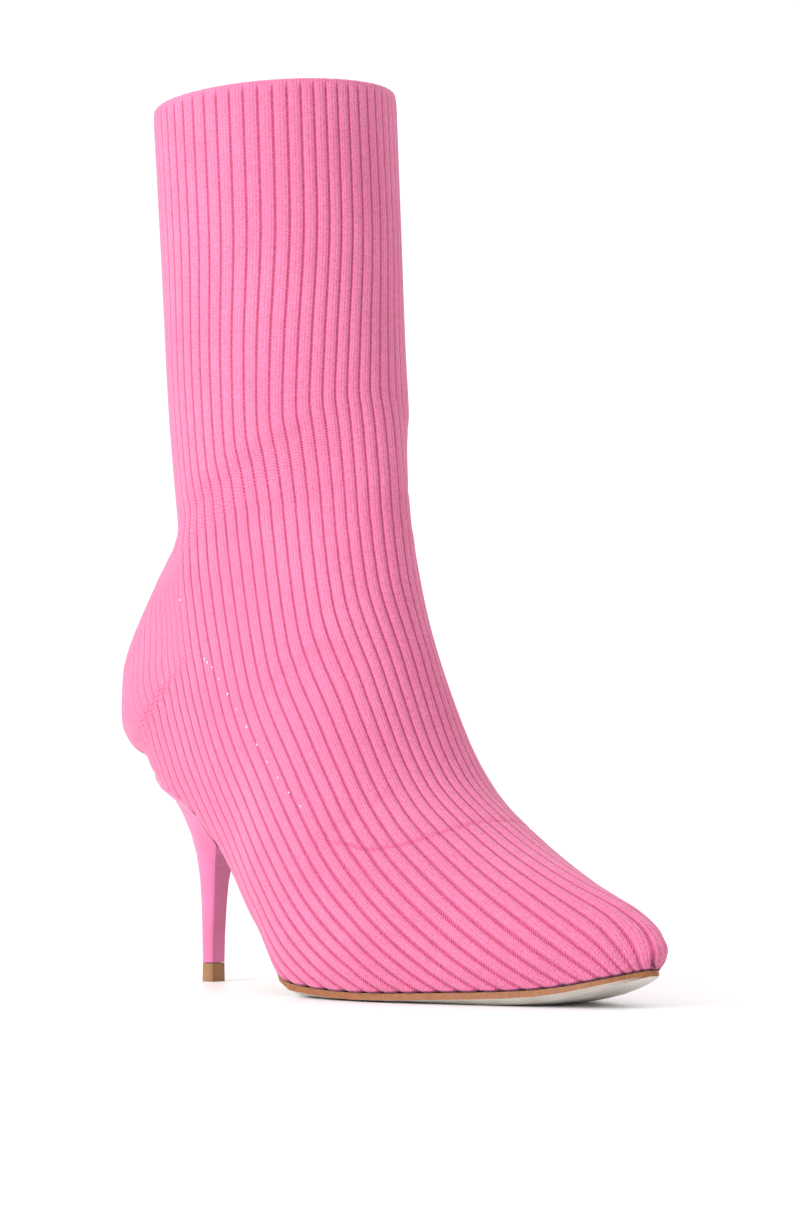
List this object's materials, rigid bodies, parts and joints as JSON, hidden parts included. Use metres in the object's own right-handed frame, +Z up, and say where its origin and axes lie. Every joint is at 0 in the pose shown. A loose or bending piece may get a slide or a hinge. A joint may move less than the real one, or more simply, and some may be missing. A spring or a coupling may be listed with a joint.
{
  "type": "sock boot",
  "caption": "Pull-on sock boot for the right foot: ribbed pink stretch-knit shaft and pointed foot in one piece, thin tan sole, slim covered high heel.",
  "frame": {"origin": "under the heel, on the flat bottom of the top piece, level with the flat of the sole at the ball", "axes": "+X to the toe, +Z up the leg, -Y the outer side of the right foot"},
  "size_m": [0.2537, 0.0833, 0.3084],
  "materials": {
    "knit": "rib-knit pink",
    "sole": "tan, smooth",
    "board": "beige, matt",
    "heel_cover": "pink satin cover",
    "lift": "tan-brown, matt"
  },
  "bodies": {
    "root": {"upper": "knit", "outsole": "sole", "insole": "board", "heel": "heel_cover", "top_piece": "lift"}
  },
  "joints": []
}
